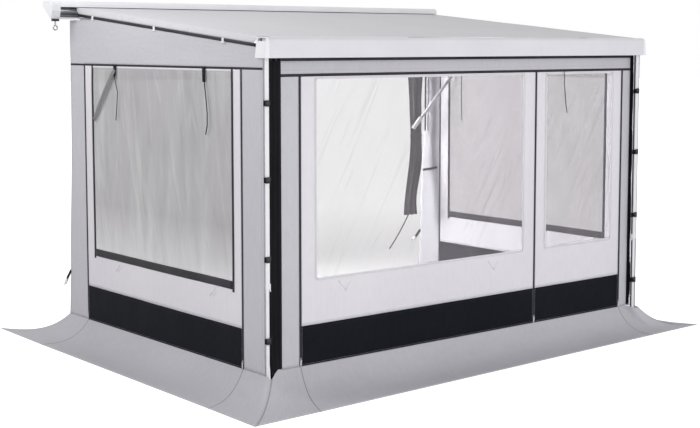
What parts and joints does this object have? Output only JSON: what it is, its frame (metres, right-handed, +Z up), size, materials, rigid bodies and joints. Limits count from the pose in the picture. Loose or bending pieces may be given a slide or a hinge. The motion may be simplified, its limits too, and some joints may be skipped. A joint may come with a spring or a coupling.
{
  "type": "caravan awning",
  "caption": "Wall-mounted cassette awning with folding spring arms, telescopic legs and zipped room walls with clear windows and ground skirts.",
  "frame": {"origin": "middle of the wall adapter's back face, where it lies against the vehicle, 2.3245 m above the ground", "axes": "+X along the cassette to the right as seen from the front, +Y back towards the vehicle, +Z up"},
  "size_m": [4.141, 3.32, 2.387],
  "materials": {
    "powder_white": "satin powder coat",
    "moulded_white": "satin moulding",
    "cast_grey": "bead-blasted casting",
    "moulded_black": "matt moulding",
    "canopy_vinyl": "matt coated vinyl",
    "grey_cloth": "coated polyester weave",
    "light_cloth": "coated polyester weave",
    "black_cloth": "coated polyester, slight sheen",
    "clear_film": "clear flexible film"
  },
  "bodies": {
    "cassette": {"cassette_housing": "powder_white", "case_end_cap_left": "powder_white", "case_end_cap_right": "powder_white", "wall_adapter": "cast_grey", "gearbox": "moulded_black", "shoulder_bracket_left": "cast_grey", "shoulder_bracket_right": "cast_grey", "canopy": "canopy_vinyl", "keder_strip_left": "moulded_black", "keder_strip_right": "moulded_black", "side_wall_left": "grey_cloth", "side_wall_right": "grey_cloth", "side_panel_left": "light_cloth", "side_panel_right": "light_cloth", "side_window_left": "clear_film", "side_window_right": "clear_film", "side_band_left": "black_cloth", "side_band_right": "black_cloth", "side_skirt_left": "grey_cloth", "side_skirt_right": "grey_cloth", "rear_strap_left": "black_cloth", "rear_strap_right": "black_cloth"},
    "lead_rail_and_front": {"lead_rail": "powder_white", "rail_end_cap_left": "moulded_white", "rail_end_cap_right": "moulded_white", "wrist_bracket_left": "cast_grey", "wrist_bracket_right": "cast_grey", "leg_pivot_left": "moulded_white", "leg_pivot_right": "moulded_white", "front_wall": "grey_cloth", "front_panel": "light_cloth", "front_window": "clear_film", "front_band": "black_cloth", "door_panel": "light_cloth", "door_window": "clear_film", "door_band": "black_cloth", "front_skirt": "grey_cloth", "corner_strip_left": "black_cloth", "corner_strip_right": "black_cloth"},
    "roller": {"roller_tube": "cast_grey"},
    "crank": {"crank_eye": "cast_grey"},
    "upper_arm_left": {"upper_arm_left": "powder_white"},
    "forearm_left": {"forearm_left": "powder_white"},
    "leg_outer_left": {"leg_outer_left": "powder_white"},
    "leg_inner_left": {"leg_inner_left": "powder_white"},
    "leg_foot_left": {"leg_foot_left": "moulded_black"},
    "clamp_lever_left": {"clamp_lever_left": "moulded_white"},
    "upper_arm_right": {"upper_arm_right": "powder_white"},
    "forearm_right": {"forearm_right": "powder_white"},
    "leg_outer_right": {"leg_outer_right": "powder_white"},
    "leg_inner_right": {"leg_inner_right": "powder_white"},
    "leg_foot_right": {"leg_foot_right": "moulded_black"},
    "clamp_lever_right": {"clamp_lever_right": "moulded_white"},
    "zip_slider_front": {"zip_slider_front": "moulded_black"},
    "zip_slider_door": {"zip_slider_door": "moulded_black"},
    "zip_slider_corner": {"zip_slider_corner": "moulded_black"},
    "zip_slider_left_front": {"zip_slider_left_front": "moulded_black"},
    "zip_slider_left_rear": {"zip_slider_left_rear": "moulded_black"},
    "zip_slider_right_front": {"zip_slider_right_front": "moulded_black"},
    "zip_slider_right_rear": {"zip_slider_right_rear": "moulded_black"}
  },
  "joints": [
    {"name": "shoulder_left", "type": "hinge", "parent": "cassette", "child": "upper_arm_left", "pos_m": [-1.5, -0.112, -0.02659], "axis": [0, -0.0958, 0.9954], "range_deg": [0, 71.5], "deforming": ["canopy", "keder_strip_left", "keder_strip_right", "side_wall_left", "side_wall_right", "side_panel_left", "side_panel_right", "side_window_left", "side_window_right", "side_band_left", "side_band_right", "side_skirt_left", "side_skirt_right", "rear_strap_left", "rear_strap_right"]},
    {"name": "elbow_left", "type": "hinge", "parent": "upper_arm_left", "child": "forearm_left", "pos_m": [-1.18188, -1.181, -0.12952], "axis": [0, -0.0958, 0.9954], "range_deg": [-143, 0]},
    {"name": "wrist_left", "type": "hinge", "parent": "forearm_left", "child": "lead_rail_and_front", "pos_m": [-1.5, -2.25, -0.23246], "axis": [0, -0.0958, 0.9954], "range_deg": [0, 71.5]},
    {"name": "shoulder_right", "type": "hinge", "parent": "cassette", "child": "upper_arm_right", "pos_m": [1.5, -0.112, -0.02659], "axis": [0, -0.0958, 0.9954], "range_deg": [-71.5, 0]},
    {"name": "elbow_right", "type": "hinge", "parent": "upper_arm_right", "child": "forearm_right", "pos_m": [1.18188, -1.181, -0.12952], "axis": [0, -0.0958, 0.9954], "range_deg": [0, 143]},
    {"name": "roller_turn", "type": "hinge", "parent": "cassette", "child": "roller", "pos_m": [0, -0.048, -0.00525], "axis": [-1, 0, 0], "range_deg": [0, 3862]},
    {"name": "crank_turn", "type": "hinge", "parent": "cassette", "child": "crank", "pos_m": [-1.855, -0.1195, -0.1088], "axis": [0, 0, 1], "range_deg": [0, 17375]},
    {"name": "leg_fold_left", "type": "hinge", "parent": "lead_rail_and_front", "child": "leg_outer_left", "pos_m": [-1.665, -2.335, -0.2945], "axis": [0, -1, 0], "range_deg": [0, 90], "deforming": ["corner_strip_left", "front_skirt"]},
    {"name": "leg_slide_left", "type": "slide", "parent": "leg_outer_left", "child": "leg_inner_left", "axis": [0, 0, 1], "range_m": [0, 0.5]},
    {"name": "foot_tilt_left", "type": "hinge", "parent": "leg_inner_left", "child": "leg_foot_left", "pos_m": [-1.665, -2.335, -2.2875], "axis": [1, 0, 0], "range_deg": [-15, 15]},
    {"name": "clamp_lever_left", "type": "hinge", "parent": "leg_outer_left", "child": "clamp_lever_left", "pos_m": [-1.6475, -2.335, -1.6308], "axis": [0, -1, 0], "range_deg": [0, 95]},
    {"name": "leg_fold_right", "type": "hinge", "parent": "lead_rail_and_front", "child": "leg_outer_right", "pos_m": [1.665, -2.335, -0.2945], "axis": [0, 1, 0], "range_deg": [0, 90], "deforming": ["corner_strip_right", "front_skirt"]},
    {"name": "leg_slide_right", "type": "slide", "parent": "leg_outer_right", "child": "leg_inner_right", "axis": [0, 0, 1], "range_m": [0, 0.5]},
    {"name": "foot_tilt_right", "type": "hinge", "parent": "leg_inner_right", "child": "leg_foot_right", "pos_m": [1.665, -2.335, -2.2875], "axis": [1, 0, 0], "range_deg": [-15, 15]},
    {"name": "clamp_lever_right", "type": "hinge", "parent": "leg_outer_right", "child": "clamp_lever_right", "pos_m": [1.6475, -2.335, -1.6308], "axis": [0, 1, 0], "range_deg": [0, 95]},
    {"name": "zip_slider_front_run", "type": "slide", "parent": "lead_rail_and_front", "child": "zip_slider_front", "axis": [0, 0, 1], "range_m": [0, 1.68]},
    {"name": "zip_slider_door_run", "type": "slide", "parent": "lead_rail_and_front", "child": "zip_slider_door", "axis": [0, 0, 1], "range_m": [0, 1.68]},
    {"name": "zip_slider_corner_run", "type": "slide", "parent": "lead_rail_and_front", "child": "zip_slider_corner", "axis": [0, 0, 1], "range_m": [0, 1.68]},
    {"name": "zip_slider_left_front_run", "type": "slide", "parent": "cassette", "child": "zip_slider_left_front", "axis": [0, 0, 1], "range_m": [0, 1.72]},
    {"name": "zip_slider_left_rear_run", "type": "slide", "parent": "cassette", "child": "zip_slider_left_rear", "axis": [0, 0, 1], "range_m": [0, 1.72]},
    {"name": "zip_slider_right_front_run", "type": "slide", "parent": "cassette", "child": "zip_slider_right_front", "axis": [0, 0, 1], "range_m": [0, 1.72]},
    {"name": "zip_slider_right_rear_run", "type": "slide", "parent": "cassette", "child": "zip_slider_right_rear", "axis": [0, 0, 1], "range_m": [0, 1.72]}
  ],
  "couplings": [
    {"joint": "elbow_left", "follows": "shoulder_left", "ratio": -2},
    {"joint": "wrist_left", "follows": "shoulder_left", "ratio": 1},
    {"joint": "shoulder_right", "follows": "shoulder_left", "ratio": -1},
    {"joint": "elbow_right", "follows": "shoulder_left", "ratio": 2},
    {"joint": "roller_turn", "follows": "shoulder_left", "ratio": 54},
    {"joint": "crank_turn", "follows": "shoulder_left", "ratio": 243}
  ]
}
